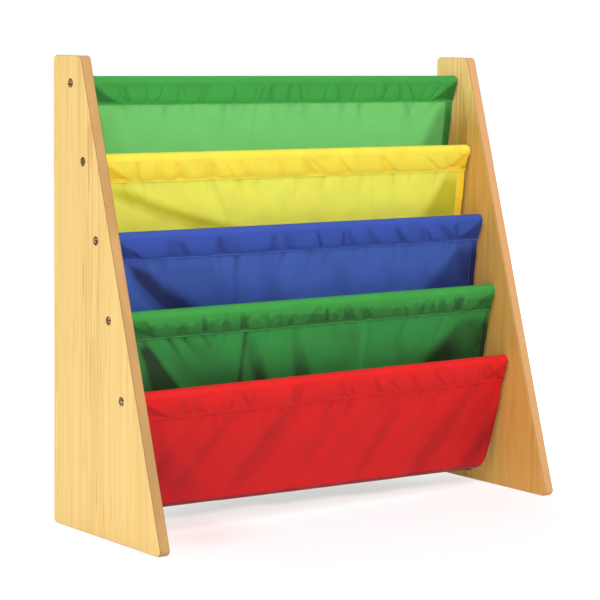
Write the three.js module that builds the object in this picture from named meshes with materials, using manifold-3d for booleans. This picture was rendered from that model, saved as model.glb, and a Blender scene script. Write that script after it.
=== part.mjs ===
// A child's sling bookshelf: two side boards with a sloping front edge, five dowels bolted
// between them, and cloth pockets hung from the dowels. Lengths are in millimetres, +Z is up,
// the front faces -Y, and the origin is on the floor in the middle of the footprint.
import * as THREE from "three";
import { mergeVertices } from "three/addons/utils/BufferGeometryUtils.js";
import Module from "manifold-3d";

const wasm = await Module();
wasm.setup();

// Side boards
const shelfWidth = 656; // over both boards
const boardHeight = 600;
const boardFootDepth = 247; // front to rear on the floor
const boardTopDepth = 63; // front to rear at the top
const boardThickness = 15;
const boardCornerRadius = 7;
const boardEdgeEase = 1.2; // the small rounding where a face meets an edge

// Dowels, in a row parallel to the boards' sloping front edge
const dowelDiameter = 16;
const dowelPitch = 101; // from axis to axis, along the slope
const topDowelDrop = 34.5; // from the top of the boards to the first axis
const dowelInset = 32; // from the sloping edge to the axes, square to it
const dowelEndChamfer = 0.8;
const insertBoreDepth = 17;
const pilotBoreDepth = 27; // room for the tip of the bolt behind the insert

// Hex-socket bolts and the threaded inserts that they screw into
const boltDiameter = 6;
const boltHeadDiameter = 11;
const boltHeadHeight = 3.4;
const boltHeadSink = 0.6; // the head's face lies this far below the board's face
const boltHeadChamfer = 0.6;
const boltReach = 23; // from the inner face of the board to the tip of the bolt
const boltTipChamfer = 0.8;
const socketAcrossFlats = 4;
const socketDepth = 2.2;
const insertDiameter = 9;
const insertLength = 15;
const insertChamfer = 0.5;

// Cloth
const clothThickness = 0.8;
const clothEndGap = 5; // from the board to the end of a sleeve
const sleeveDrop = 27; // from the dowel's axis to the line of stitches
const sleeveHem = 3; // from the line of stitches to the sleeve's lower edge
const sleeveTaper = 3; // how much each end of a sleeve is drawn in at its lower edge
const sleevePucker = 1.1; // depth of the small gathers in a sleeve
const sleevePuckerLength = 104; // from one gather to the next
const sideHemWidth = 12; // the doubled band down each side of a panel
const pocketDrop = 150; // from the front dowel's axis to the bottom of the pocket
const pocketTaper = 25; // how much each side of a pocket is drawn in at its bottom
const pocketLean = 7; // how far the bottom of a pocket hangs back
const pocketSwing = 6; // how far a front panel falls back behind its dowel
const pocketSkew = 5; // how much lower the right end of a pocket's bottom hangs
const foldDepth = 5.5; // the slack fold that runs down and in from each upper corner
const foldWidth = 24;
// How far the fold runs in for each unit that it runs down, at the left and the right of the
// panel that is seen below each dowel
const foldRunShares = [[0.4, 0.6], [2.6, 0.8], [1.1, 1.05], [1.2, 1.05], [0.4, 0.75]];

// Clearances
const seatGap = 0.3; // between pieces that bear on each other
const boreClearance = 0.3; // round a shank, an insert or a dowel
const headClearance = 0.4; // round a bolt's head
const cutOverrun = 2; // how far a cutting tool stands past the face that it cuts

// Facets
const boltSides = 14;
const insertSides = 12;
const dowelSides = 20;
const holeSides = 20;
const cornerSteps = 8;
const easeSteps = 2;
const sleeveArcSteps = 7;
const sleeveStations = 12;
const panelRows = 9;
// The columns of a panel between its two side hems, as shares of the width from hem to hem
const columnShares = [0.04, 0.09, 0.15, 0.22, 0.31, 0.42];

const dowelNames = ["green", "yellow", "blue", "green", "red"];
const dowelCount = dowelNames.length;
const pocketCount = dowelCount - 1;

const boardMaterial = finish(0xf2d392, 0.5, 0);
const dowelMaterial = finish(0xe3c08a, 0.6, 0);
const boltMaterial = finish(0x5a4534, 0.35, 0.9);
const insertMaterial = finish(0xb9a568, 0.4, 0.9);
const clothMaterials = {
  green: finish(0x3fa647, 0.6, 0),
  yellow: finish(0xf7d83a, 0.6, 0),
  blue: finish(0x3f55a8, 0.6, 0),
  red: finish(0xd8282d, 0.6, 0),
};

// Derived places
const boardInnerFace = shelfWidth / 2 - boardThickness;
const frontRun = boardFootDepth - boardTopDepth;
const frontSlope = Math.atan2(frontRun, boardHeight); // of the front edge, from upright
const toeHalfAngle = (Math.PI / 2 - frontSlope) / 2;
const toeLoss = boardCornerRadius * (1 / Math.tan(toeHalfAngle) - 1); // the round takes this off
const rearFace = (boardFootDepth - toeLoss) / 2;
const counterboreDepth = boltHeadHeight + boltHeadSink;
const clothHalfWidth = boardInnerFace - clothEndGap;
const sleeveBoreRadius = dowelDiameter / 2 + boreClearance;
const sleeveRadius = sleeveBoreRadius + clothThickness;
const layerStep = 2 * clothThickness + seatGap; // a side hem is two cloths thick

// The axis of a dowel in the YZ plane; the first is the top one.
function dowelAxis(index) {
  const drop = topDowelDrop + index * dowelPitch * Math.cos(frontSlope);
  const frontEdge = rearFace - boardTopDepth - drop * Math.tan(frontSlope);
  return {
    y: frontEdge + dowelInset / Math.cos(frontSlope),
    z: boardHeight - drop,
  };
}

const root = new THREE.Group();
root.name = "sling_bookshelf";
const frame = new THREE.Group();
const hardware = new THREE.Group();
const sling = new THREE.Group();
root.add(frame, hardware, sling);

addBoards();
addDowels();
addFasteners();
addSleeves();
addPockets();

function finish(color, roughness, metalness) {
  return new THREE.MeshStandardMaterial({ color, roughness, metalness });
}

// Boards: one outline drawn in the YZ plane, given its thickness along X.

function addBoards() {
  for (const [name, side] of [["left", -1], ["right", 1]]) {
    const board = boardSolid(side);
    const mesh = new THREE.Mesh(meshGeometry(board), boardMaterial);
    mesh.name = `${name}_side_board`;
    mesh.position.x = side * (shelfWidth / 2 - boardThickness / 2);
    frame.add(mesh);
  }
}

// The board lies centred on its own thickness; side is the way its outer face looks along X.
function boardSolid(side) {
  const outline = roundedOutline(
    [
      [rearFace - boardFootDepth, 0],
      [rearFace, 0],
      [rearFace, boardHeight],
      [rearFace - boardTopDepth, boardHeight],
    ],
    boardCornerRadius,
  );
  const slab = new THREE.ExtrudeGeometry(outline, {
    depth: boardThickness - 2 * boardEdgeEase,
    bevelThickness: boardEdgeEase,
    bevelSize: boardEdgeEase,
    bevelOffset: -boardEdgeEase,
    bevelSegments: easeSteps,
    curveSegments: cornerSteps,
  });
  slab.translate(0, 0, boardEdgeEase - boardThickness / 2);
  slab.applyMatrix4(outlineToSide());
  let solid = solidOf(slab);
  for (let index = 0; index < dowelCount; index++) {
    const axis = dowelAxis(index);
    const tool = boltHoleTool();
    tool.applyMatrix4(alongX(side));
    tool.translate(side * (boardThickness / 2), axis.y, axis.z);
    solid = solid.subtract(solidOf(tool));
  }
  return solid;
}

// A stepped cutter for the counterbore and the through hole, its axis on Y and the board's
// outer face at 0.
function boltHoleTool() {
  const head = boltHeadDiameter / 2 + headClearance;
  const shank = boltDiameter / 2 + boreClearance;
  return turned(
    [
      [0, -boardThickness - cutOverrun],
      [shank, -boardThickness - cutOverrun],
      [shank, -counterboreDepth],
      [head, -counterboreDepth],
      [head, cutOverrun],
      [0, cutOverrun],
    ],
    holeSides,
  );
}

// A polygon with straight sides, whose corners are arcs of one radius.
function roundedOutline(corners, radius) {
  const shape = new THREE.Shape();
  const points = corners.map(([x, y]) => new THREE.Vector2(x, y));
  points.forEach((corner, index) => {
    const before = points.at(index - 1).clone().sub(corner).normalize();
    const after = points[(index + 1) % points.length].clone().sub(corner).normalize();
    const halfAngle = Math.acos(before.dot(after)) / 2;
    const run = radius / Math.tan(halfAngle);
    const start = corner.clone().addScaledVector(before, run);
    const end = corner.clone().addScaledVector(after, run);
    const inward = before.clone().add(after).normalize();
    const centre = corner.clone().addScaledVector(inward, radius / Math.sin(halfAngle));
    if (index === 0) shape.moveTo(start.x, start.y);
    else shape.lineTo(start.x, start.y);
    const from = start.clone().sub(centre).angle();
    const to = end.clone().sub(centre).angle();
    shape.absarc(centre.x, centre.y, radius, from, to, false);
  });
  shape.closePath();
  return shape;
}

// Turns a shape drawn in XY and extruded along Z so that it stands in YZ, extruded along X.
function outlineToSide() {
  return new THREE.Matrix4().makeBasis(
    new THREE.Vector3(0, 1, 0),
    new THREE.Vector3(0, 0, 1),
    new THREE.Vector3(1, 0, 0),
  );
}

// Dowels, each with a stepped bore in both ends.

function addDowels() {
  for (let index = 0; index < dowelCount; index++) {
    const mesh = new THREE.Mesh(dowelGeometry(), dowelMaterial);
    mesh.name = `dowel_${index + 1}`;
    placeOnAxis(mesh, index, 0, 1);
    frame.add(mesh);
  }
}

function dowelGeometry() {
  const half = boardInnerFace - seatGap;
  const radius = dowelDiameter / 2;
  const insertBore = insertDiameter / 2 + boreClearance;
  const pilotBore = boltDiameter / 2 + boreClearance;
  const end = [
    [0, half - pilotBoreDepth],
    [pilotBore, half - pilotBoreDepth],
    [pilotBore, half - insertBoreDepth],
    [insertBore, half - insertBoreDepth],
    [insertBore, half],
    [radius - dowelEndChamfer, half],
    [radius, half - dowelEndChamfer],
  ];
  const otherEnd = end.map(([r, y]) => [r, -y]);
  return turned([...otherEnd, ...end.toReversed()], dowelSides);
}

// Bolts and inserts, one of each at both ends of every dowel.

function addFasteners() {
  for (const [name, side] of [["left", -1], ["right", 1]])
    for (let index = 0; index < dowelCount; index++) {
      const bolt = new THREE.Mesh(meshGeometry(boltSolid()), boltMaterial);
      bolt.name = `${name}_bolt_${index + 1}`;
      placeOnAxis(bolt, index, side * (shelfWidth / 2 - boltHeadSink), side);
      const insert = new THREE.Mesh(insertGeometry(), insertMaterial);
      insert.name = `${name}_insert_${index + 1}`;
      placeOnAxis(insert, index, side * (boardInnerFace - 2 * seatGap), side);
      hardware.add(bolt, insert);
    }
}

// The bolt's axis is Y, with the outer face of its head at 0.
function boltSolid() {
  const head = boltHeadDiameter / 2;
  const shank = boltDiameter / 2;
  const seat = seatGap - boltHeadHeight;
  const tip = boltHeadSink - boardThickness - boltReach;
  const body = turned(
    [
      [0, tip],
      [shank - boltTipChamfer, tip],
      [shank, tip + boltTipChamfer],
      [shank, seat],
      [head, seat],
      [head, -boltHeadChamfer],
      [head - boltHeadChamfer, 0],
      [0, 0],
    ],
    boltSides,
  );
  const socketRadius = socketAcrossFlats / 2 / Math.cos(Math.PI / 6);
  const socket = new THREE.CylinderGeometry(
    socketRadius,
    socketRadius,
    socketDepth + cutOverrun,
    6,
  );
  socket.translate(0, (cutOverrun - socketDepth) / 2, 0);
  return solidOf(body).subtract(solidOf(socket));
}

// The insert is a sleeve nut: its axis is Y, with its outer end at 0.
function insertGeometry() {
  const outer = insertDiameter / 2;
  const bore = boltDiameter / 2 + boreClearance;
  return turned(
    [
      [bore, -insertLength],
      [outer - insertChamfer, -insertLength],
      [outer, insertChamfer - insertLength],
      [outer, -insertChamfer],
      [outer - insertChamfer, 0],
      [bore, 0],
      [bore, -insertLength],
    ],
    insertSides,
  );
}

// Puts a turned piece on a dowel's axis, its own +Y looking to the given side along X.
function placeOnAxis(mesh, index, x, side) {
  const axis = dowelAxis(index);
  mesh.rotation.setFromRotationMatrix(alongX(side));
  mesh.position.set(x, axis.y, axis.z);
}

function alongX(side) {
  return new THREE.Matrix4().makeRotationZ(-side * (Math.PI / 2));
}

function turned(profile, sides) {
  const points = profile.map(([r, y]) => new THREE.Vector2(r, y));
  return new THREE.LatheGeometry(points, sides);
}

// Sleeves: a doubled cloth round each dowel, drawn to a line of stitches below it.

function addSleeves() {
  for (let index = 0; index < dowelCount; index++) {
    const mesh = new THREE.Mesh(sleeveGeometry(), clothMaterials[dowelNames[index]]);
    mesh.name = `dowel_sleeve_${index + 1}`;
    const axis = dowelAxis(index);
    mesh.position.set(0, axis.y, axis.z);
    sling.add(mesh);
  }
}

// The section changes a little along the dowel, so the sleeve is lofted through stations.
function sleeveGeometry() {
  const outer = [];
  const bore = [];
  for (let station = 0; station < sleeveStations; station++) {
    const along = (2 * station) / (sleeveStations - 1) - 1;
    const x = along * clothHalfWidth;
    const sway = sleevePucker * Math.sin((2 * Math.PI * x) / sleevePuckerLength);
    const drawIn = ([y, z]) => {
      const below = Math.max(0, -z) / (sleeveDrop + sleeveHem);
      return [x - along * sleeveTaper * below, y, z];
    };
    outer.push(sleeveLoop(sleeveRadius, clothThickness, sway, hemCorners()).map(drawIn));
    bore.push(sleeveLoop(sleeveBoreRadius, 0, sway, [stitchPoint()]).map(drawIn));
  }
  return pipeGeometry(outer, bore);
}

// Where the two layers of a sleeve meet inside, just above the stitches.
function stitchPoint() {
  return [0, clothThickness - sleeveDrop];
}

function hemCorners() {
  const front = -clothThickness;
  const rear = clothThickness;
  const edge = -sleeveDrop - sleeveHem;
  return [[front, -sleeveDrop], [front, edge], [rear, edge], [rear, -sleeveDrop]];
}

// One turn round the dowel in YZ, from the rear layer over the top to the front layer, and
// back along the given foot. Sway moves the middle of both layers to and fro.
function sleeveLoop(radius, half, sway, foot) {
  const tangent = Math.asin((radius - half) / sleeveDrop);
  const loop = [];
  for (let step = 0; step <= sleeveArcSteps; step++) {
    const angle = -tangent + ((Math.PI + 2 * tangent) * step) / sleeveArcSteps;
    loop.push([radius * Math.cos(angle), radius * Math.sin(angle)]);
  }
  const middle = ([y0, z0], [y1, z1]) => [(y0 + y1) / 2 + sway, (z0 + z1) / 2];
  return [
    middle(loop[0], foot.at(-1)),
    ...loop,
    middle(loop.at(-1), foot[0]),
    ...foot,
  ];
}

// A pipe lofted through like loops. Both loops of a station run anticlockwise in YZ.
function pipeGeometry(outer, bore) {
  const outerCount = outer[0].length;
  const boreCount = bore[0].length;
  const stationSize = outerCount + boreCount;
  const positions = outer.flatMap((loop, station) => [...loop, ...bore[station]]);
  const triangles = [];
  const quad = (a, b, c, d) => triangles.push(a, b, c, a, c, d);
  for (let station = 1; station < outer.length; station++) {
    const here = station * stationSize;
    const before = here - stationSize;
    for (let k = 0; k < outerCount; k++) {
      const next = (k + 1) % outerCount;
      quad(before + k, before + next, here + next, here + k);
    }
    for (let k = 0; k < boreCount; k++) {
      const next = (k + 1) % boreCount;
      const from = outerCount;
      quad(before + from + k, here + from + k, here + from + next, before + from + next);
    }
  }
  addPipeEnd(triangles, outer[0], bore[0], 0, false);
  addPipeEnd(triangles, outer.at(-1), bore.at(-1), positions.length - stationSize, true);
  return closedGeometry(positions, triangles);
}

function addPipeEnd(triangles, outerLoop, boreLoop, first, looksAlongX) {
  const flat = (loop) => loop.map(([, y, z]) => new THREE.Vector2(y, z));
  const contour = flat(outerLoop);
  const hole = flat(boreLoop);
  const corners = [...contour, ...hole];
  for (const [a, b, c] of THREE.ShapeUtils.triangulateShape(contour, [hole])) {
    const turn = THREE.ShapeUtils.area([corners[a], corners[b], corners[c]]);
    const ordered = turn > 0 === looksAlongX ? [a, b, c] : [a, c, b];
    triangles.push(...ordered.map((corner) => first + corner));
  }
}

// Pockets: a back panel from one dowel and a front panel from the next, which curve towards
// each other and meet along the bottom.

function addPockets() {
  for (let pocket = 0; pocket < pocketCount; pocket++) {
    const lastPocket = pocket === pocketCount - 1;
    const backColour = dowelNames[pocket];
    const frontColour = lastPocket ? dowelNames[pocket + 1] : backColour;
    for (const [part, colour] of [["back", backColour], ["front", frontColour]]) {
      const geometry = panelGeometry(pocketSection(pocket), part);
      const mesh = new THREE.Mesh(geometry, clothMaterials[colour]);
      mesh.name = `pocket_${pocket + 1}_${part}_panel`;
      sling.add(mesh);
    }
  }
}

// The sizes of one pocket in the YZ plane. A back panel lies next to its sleeve's hem, and so
// does the red front panel; the other front panels hang behind the next pocket's back panel.
function pocketSection(pocket) {
  const rearAxis = dowelAxis(pocket);
  const frontAxis = dowelAxis(pocket + 1);
  const firstLayer = clothThickness + seatGap + clothThickness;
  const frontIsSeen = pocket === pocketCount - 1;
  const frontLayer = frontIsSeen ? firstLayer : firstLayer + layerStep;
  const backTop = rearAxis.y + firstLayer;
  const frontTop = frontAxis.y + frontLayer;
  const backFoot = backTop + pocketLean;
  const frontFoot = frontTop + pocketSwing + pocketLean;
  const turnRadius = (backFoot - frontFoot) / 2;
  const bottom = frontAxis.z - pocketDrop;
  return {
    turnRadius,
    turnCentre: { y: (backFoot + frontFoot) / 2, z: bottom + turnRadius },
    back: {
      top: { y: backTop, z: rearAxis.z - sleeveDrop },
      foot: backFoot,
      side: 1,
      foldRuns: foldRunShares[pocket],
    },
    front: {
      top: { y: frontTop, z: frontAxis.z - sleeveDrop },
      foot: frontFoot,
      side: -1,
      foldRuns: frontIsSeen ? foldRunShares[pocket + 1] : null,
    },
  };
}

// The line of a panel in YZ at a share of its way down: nearly straight to the turn, then a
// quarter circle to the bottom, where it stops half a gap short of the other panel.
function panelLine(section, part, share) {
  const { top, foot, side } = section[part];
  const { turnCentre, turnRadius } = section;
  const straight = top.z - turnCentre.z;
  const quarter = Math.PI / 2 - seatGap / 2 / turnRadius;
  const reach = share * (straight + quarter * turnRadius);
  if (reach < straight) {
    const down = reach / straight;
    const ease = part === "front" ? Math.sin((down * Math.PI) / 2) : down;
    return { y: top.y + (foot - top.y) * ease, z: top.z - reach };
  }
  const angle = (reach - straight) / turnRadius;
  return {
    y: turnCentre.y + side * turnRadius * Math.cos(angle),
    z: turnCentre.z - turnRadius * Math.sin(angle),
  };
}

function panelGeometry(section, part) {
  const columns = panelColumns();
  const frontFaces = [];
  const rearFaces = [];
  for (let row = 0; row < panelRows; row++) {
    const share = row / (panelRows - 1);
    const line = panelLine(section, part, share);
    const normal = panelNormal(section, part, share);
    const along = columns.map(({ fromSide, side, half }) => {
      const edge = clothHalfWidth - sleeveTaper - pocketTaper * share ** 1.5;
      const x = side * edge * (1 - fromSide / clothHalfWidth);
      const skew = (-pocketSkew * share * x) / clothHalfWidth;
      const fold = panelFold(section, part, share, fromSide, side);
      const point = (way) => [
        x,
        line.y + fold + way * half * normal.y,
        line.z + skew + way * half * normal.z,
      ];
      return { front: point(-1), rear: point(1) };
    });
    frontFaces.push(along.map(({ front }) => front));
    rearFaces.push(along.map(({ rear }) => rear));
  }
  return slabGeometry(frontFaces, rearFaces);
}

// Each column's distance from its own side of the cloth, at its full width, and half of its
// thickness there.
function panelColumns() {
  const hemmed = { half: clothThickness };
  const single = { half: clothThickness / 2 };
  const inner = sideHemWidth + clothThickness;
  const between = 2 * (clothHalfWidth - inner);
  const half = [
    { fromSide: 0, ...hemmed },
    { fromSide: sideHemWidth, ...hemmed },
    { fromSide: inner, ...single },
    ...columnShares.map((share) => ({ fromSide: inner + share * between, ...single })),
  ];
  return [
    ...half.map((column) => ({ ...column, side: -1 })),
    ...half.toReversed().map((column) => ({ ...column, side: 1 })),
  ];
}

// Half the cloth's thickness is laid off along this direction, which looks to the rear where
// the panel hangs straight.
function panelNormal(section, part, share) {
  const step = 1 / panelRows ** 2;
  const above = panelLine(section, part, Math.max(0, share - step));
  const below = panelLine(section, part, Math.min(1, share + step));
  const run = new THREE.Vector2(above.y - below.y, above.z - below.z).normalize();
  return { y: run.y, z: -run.x };
}

// Slack cloth gathers in a fold from each upper corner of a panel that is seen. A back panel's
// fold comes forward, and a front panel's goes back, so that neighbours stay clear of each
// other. The cloth that hangs behind another panel has none.
function panelFold(section, part, share, fromSide, columnSide) {
  const { top, side, foldRuns } = section[part];
  if (!foldRuns) return 0;
  const foldRun = foldRuns[columnSide < 0 ? 0 : 1];
  const down = share * (top.z - section.turnCentre.z);
  const across = (fromSide - foldRun * down) / foldWidth;
  const strength = Math.sin(Math.PI * share);
  return -side * foldDepth * strength * Math.exp(-across * across);
}

// Joins two like grids of points, the two faces of a cloth, into one closed slab.
function slabGeometry(frontFaces, rearFaces) {
  const rows = frontFaces.length;
  const columns = frontFaces[0].length;
  const positions = [...frontFaces.flat(), ...rearFaces.flat()];
  const triangles = [];
  const front = (row, column) => row * columns + column;
  const rear = (row, column) => rows * columns + front(row, column);
  const quad = (a, b, c, d) => triangles.push(a, b, c, a, c, d);
  for (let row = 1; row < rows; row++)
    for (let column = 1; column < columns; column++) {
      const r = row - 1;
      const c = column - 1;
      quad(front(r, c), front(row, c), front(row, column), front(r, column));
      quad(rear(r, c), rear(r, column), rear(row, column), rear(row, c));
    }
  const lastRow = rows - 1;
  const lastColumn = columns - 1;
  for (let column = 1; column < columns; column++) {
    const c = column - 1;
    quad(front(0, c), front(0, column), rear(0, column), rear(0, c));
    quad(front(lastRow, column), front(lastRow, c), rear(lastRow, c), rear(lastRow, column));
  }
  for (let row = 1; row < rows; row++) {
    const r = row - 1;
    quad(front(row, 0), front(r, 0), rear(r, 0), rear(row, 0));
    quad(
      front(r, lastColumn),
      front(row, lastColumn),
      rear(row, lastColumn),
      rear(r, lastColumn),
    );
  }
  return closedGeometry(positions, triangles);
}

// Geometry helpers

function closedGeometry(positions, triangles) {
  const geometry = new THREE.BufferGeometry();
  geometry.setAttribute("position", new THREE.Float32BufferAttribute(positions.flat(), 3));
  geometry.setIndex(triangles);
  geometry.computeVertexNormals();
  return geometry;
}

function solidOf(geometry) {
  const bare = geometry.clone();
  bare.deleteAttribute("normal");
  bare.deleteAttribute("uv");
  const merged = mergeVertices(bare);
  return new wasm.Manifold(
    new wasm.Mesh({
      numProp: 3,
      vertProperties: merged.attributes.position.array,
      triVerts: new Uint32Array(merged.index.array),
    }),
  );
}

function meshGeometry(solid) {
  const { vertProperties, triVerts } = solid.getMesh();
  const geometry = new THREE.BufferGeometry();
  geometry.setAttribute("position", new THREE.BufferAttribute(vertProperties, 3));
  geometry.setIndex(new THREE.BufferAttribute(triVerts, 1));
  geometry.computeVertexNormals();
  return geometry;
}

export default root;
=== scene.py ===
# %% [markdown]
# # A child's sling bookshelf
# Two side boards carry five dowels, and a sling of thin nylon hangs from the dowels in four
# pockets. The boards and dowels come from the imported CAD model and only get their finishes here.
# The cloth is made anew, because a solid can't show a thin sheet with hems, gathers and folds.

import bmesh
import bpy
import numpy as np
from mathutils import Matrix, Vector


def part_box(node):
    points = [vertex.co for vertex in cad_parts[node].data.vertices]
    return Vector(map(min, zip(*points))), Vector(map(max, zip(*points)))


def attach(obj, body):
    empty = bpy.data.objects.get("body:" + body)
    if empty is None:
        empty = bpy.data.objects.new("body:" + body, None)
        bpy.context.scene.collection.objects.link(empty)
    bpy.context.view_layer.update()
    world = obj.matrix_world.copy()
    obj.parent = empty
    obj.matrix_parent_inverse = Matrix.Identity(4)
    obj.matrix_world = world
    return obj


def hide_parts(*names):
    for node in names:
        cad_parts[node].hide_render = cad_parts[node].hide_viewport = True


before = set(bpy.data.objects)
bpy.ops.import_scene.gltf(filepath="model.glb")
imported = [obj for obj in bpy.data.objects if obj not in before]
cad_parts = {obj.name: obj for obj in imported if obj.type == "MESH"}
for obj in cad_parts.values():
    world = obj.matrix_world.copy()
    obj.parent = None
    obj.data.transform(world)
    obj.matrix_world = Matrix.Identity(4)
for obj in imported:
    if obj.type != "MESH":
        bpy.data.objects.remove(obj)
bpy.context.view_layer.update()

# %% [markdown]
# ## The camera
# The photograph was taken from the front left, a little above the top of the shelf, with a long
# lens. The camera's place, turn and lens were worked out from the corners and edges of the two
# boards. It comes first, so that every later piece can be judged through it.

# %% Camera
CAMERA_PLACE = (-1.79441, -2.28903, 0.62529)
CAMERA_AZIMUTH, CAMERA_DIP, CAMERA_ROLL = np.radians([37.705, 6.763, 0.725])
CAMERA_LENS, CAMERA_SENSOR = 132.72, 36  # focal length and width of the picture, in mm


def turned_camera(azimuth, dip, roll):
    """The turn of a camera that first looks along +Y. It rolls about its own view, dips from the
    horizon, and then turns towards +X by its azimuth."""
    return (
        Matrix.Rotation(-azimuth, 4, "Z")
        @ Matrix.Rotation(np.pi / 2 - dip, 4, "X")
        @ Matrix.Rotation(roll, 4, "Z")
    )


camera = bpy.data.objects.new("camera", bpy.data.cameras.new("camera"))
camera.data.lens, camera.data.sensor_width = CAMERA_LENS, CAMERA_SENSOR
camera.matrix_world = Matrix.Translation(CAMERA_PLACE) @ turned_camera(
    CAMERA_AZIMUTH, CAMERA_DIP, CAMERA_ROLL
)
bpy.context.scene.collection.objects.link(camera)
bpy.context.scene.camera = camera
bpy.context.scene.view_settings.view_transform = "Standard"
print("camera at", tuple(round(v, 3) for v in camera.location))

# %% [markdown]
# ## Where the cloth hangs
# Everything in the sling is placed from the five dowels. Their axes are read from the frame, so
# the cloth follows them if they move. The other sizes are those of the sewn pieces.

# %% Sizes of the sewn pieces, in metres
COLOURS = ["green", "yellow", "blue", "green", "red"]
CLOTH_HALF = 0.3096  # half the width of the cloth
SLEEVE_RADIUS = 0.0089  # of the cloth round a dowel
SLEEVE_DROP = 0.027  # from a dowel's axis to the stitches below it
SLEEVE_HEM = 0.0012  # from the stitches to the lower edge
SLEEVE_TAPER = 0.001  # how far an end is drawn in at the lower edge
SIDE_HEM = 0.012  # the part of each side that is folded back
POCKET_DROP = 0.150  # from the front dowel's axis to the bottom
POCKET_TAPER = 0.032  # how far each side is drawn in at the bottom
POCKET_LEAN = 0.007  # how far both panels hang to the rear at the bottom
POCKET_SWING = 0.006  # how much further the front panel swings to the rear
POCKET_SKEW = 0.005  # how far the bottom is down at the right end, and up at the left one
LAYER = 0.0011  # from one hanging cloth to the next at a sleeve


def dowel_axis(index):
    """The middle of a dowel's box in Y and Z."""
    low, high = np.array(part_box(f"dowel_{index + 1}"))
    return (low + high)[1:] / 2


AXES = np.array([dowel_axis(i) for i in range(len(COLOURS))])
print("dowel axes, y and z:", AXES.round(4).tolist())

# %% [markdown]
# ## A mesh from a grid
# Each piece of cloth is a function of two parameters. numpy works out the whole grid of points at
# once, and a helper joins neighbouring points with four-sided faces. A bolt or a stitch is a row
# of rings in place of a grid. On cloth, the place in metres on the flat sheet goes in as a UV map,
# so that the weave follows the cloth.


# %% Grid to mesh
def grid_faces(rows, columns):
    """Faces (r, c), (r, c+1), (r+1, c+1), (r+1, c) of a grid whose points are stored by rows."""
    index = np.arange(rows * columns).reshape(rows, columns)
    corners = [index[:-1, :-1], index[:-1, 1:], index[1:, 1:], index[1:, :-1]]
    return np.stack([c.ravel() for c in corners], axis=1)


def ring_faces(points):
    """Faces between neighbouring rings, each of which closes on itself, for points of shape
    (..., rings, sides, 3)."""
    index = np.arange(points[..., 0].size).reshape(points.shape[:-1])
    after = np.roll(index, -1, axis=-1)
    corners = [index[..., :-1, :], index[..., 1:, :], after[..., 1:, :], after[..., :-1, :]]
    return np.stack([c.ravel() for c in corners], axis=1)


def add_mesh(name, points, faces, uv=None, shade=None):
    """A piece from arrays of points and faces, with a UV map and a shade where they are given.
    All faces have as many corners."""
    mesh = bpy.data.meshes.new(name)
    mesh.vertices.add(points[..., 0].size)
    mesh.vertices.foreach_set("co", points.astype(np.float32).ravel())
    mesh.loops.add(faces.size)
    mesh.loops.foreach_set("vertex_index", faces.astype(np.int32).ravel())
    mesh.polygons.add(len(faces))
    starts = np.arange(len(faces), dtype=np.int32) * faces.shape[1]
    mesh.polygons.foreach_set("loop_start", starts)
    mesh.polygons.foreach_set("use_smooth", np.ones(len(faces), bool))
    if uv is not None:
        corners = uv.reshape(-1, 2).astype(np.float32)[faces.ravel()]
        mesh.uv_layers.new(name="cloth").uv.foreach_set("vector", corners.ravel())
    if shade is not None:
        values = mesh.attributes.new("shade", "FLOAT", "POINT").data
        values.foreach_set("value", shade.astype(np.float32).ravel())
    mesh.update()
    mesh.validate()
    piece = bpy.data.objects.new(name, mesh)
    bpy.context.scene.collection.objects.link(piece)
    return piece


def add_grid(name, points, uv=None, shade=None):
    """A piece from points of shape (rows, columns, 3)."""
    return add_mesh(name, points, grid_faces(*points.shape[:2]), uv, shade)


print("faces of a grid of 3 by 4 points:", len(grid_faces(3, 4)))

# %% [markdown]
# ## Shader maths
# Wood grain and cloth are sums and products of a few noises. Written as Python expressions, they
# read like the formula that they are. The first class wraps one socket, and each operator adds
# the Math node that does it.


# %% Numbers in a finish
class Value:
    """A socket that carries one number. Operators on it add Math nodes to its tree."""

    def __init__(self, finish, socket):
        self.finish, self.socket = finish, socket

    def apply(self, operation, *others):
        """Any other operation of the Math node."""
        return self.finish.maths(operation, self, *others)

    def __add__(self, other):
        return self.apply("ADD", other)

    __radd__ = __add__

    def __sub__(self, other):
        return self.apply("SUBTRACT", other)

    def __rsub__(self, other):
        return self.finish.maths("SUBTRACT", other, self)

    def __mul__(self, other):
        return self.apply("MULTIPLY", other)

    __rmul__ = __mul__

    def __truediv__(self, other):
        return self.apply("DIVIDE", other)

    def __abs__(self):
        return self.apply("ABSOLUTE")

    def between(self, low, high):
        """0 at low, 1 at high, and a smooth S between them; low may be above high."""
        node = self.finish.node(
            "ShaderNodeMapRange",
            {"interpolation_type": "SMOOTHSTEP"},
            {"Value": self, "From Min": low, "From Max": high},
        )
        return Value(self.finish, node.outputs[0])


# %% [markdown]
# ### A tree of nodes
# Every node comes from one method, which takes its type, its settings and what goes into its
# sockets. The methods below it are the few nodes that the finishes use again and again. Colours
# are read off the screen from 0 to 255, while a shader wants them linear.


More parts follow.
